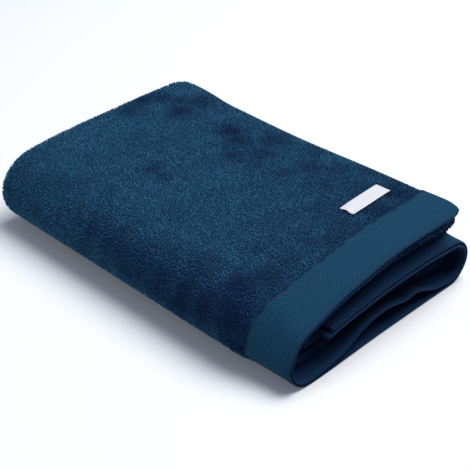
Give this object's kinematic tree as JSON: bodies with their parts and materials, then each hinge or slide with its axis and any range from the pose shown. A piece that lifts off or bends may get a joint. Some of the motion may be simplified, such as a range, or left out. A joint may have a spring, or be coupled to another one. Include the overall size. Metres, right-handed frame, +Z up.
{
  "type": "folded bath towel",
  "caption": "Dark petrol-blue terry bath towel, folded into a rectangle with its flat-woven bands and hems together at one end and a small bare label on top.",
  "frame": {"origin": "under the middle of the folded towel, on the surface that it rests on", "axes": "+Z up; +Y along the folded towel, away from the end with the bands and hems; +X across it, from the big left fold, which wraps the whole stack, to the right fold"},
  "size_m": [0.24, 0.3606, 0.0773],
  "materials": {
    "terry": "looped cotton terry with a flat-woven twill band at each end, matt",
    "label_ribbon": "smooth woven label ribbon, faint satin sheen"
  },
  "bodies": {
    "root": {"towel": "terry", "label": "label_ribbon"}
  },
  "joints": []
}
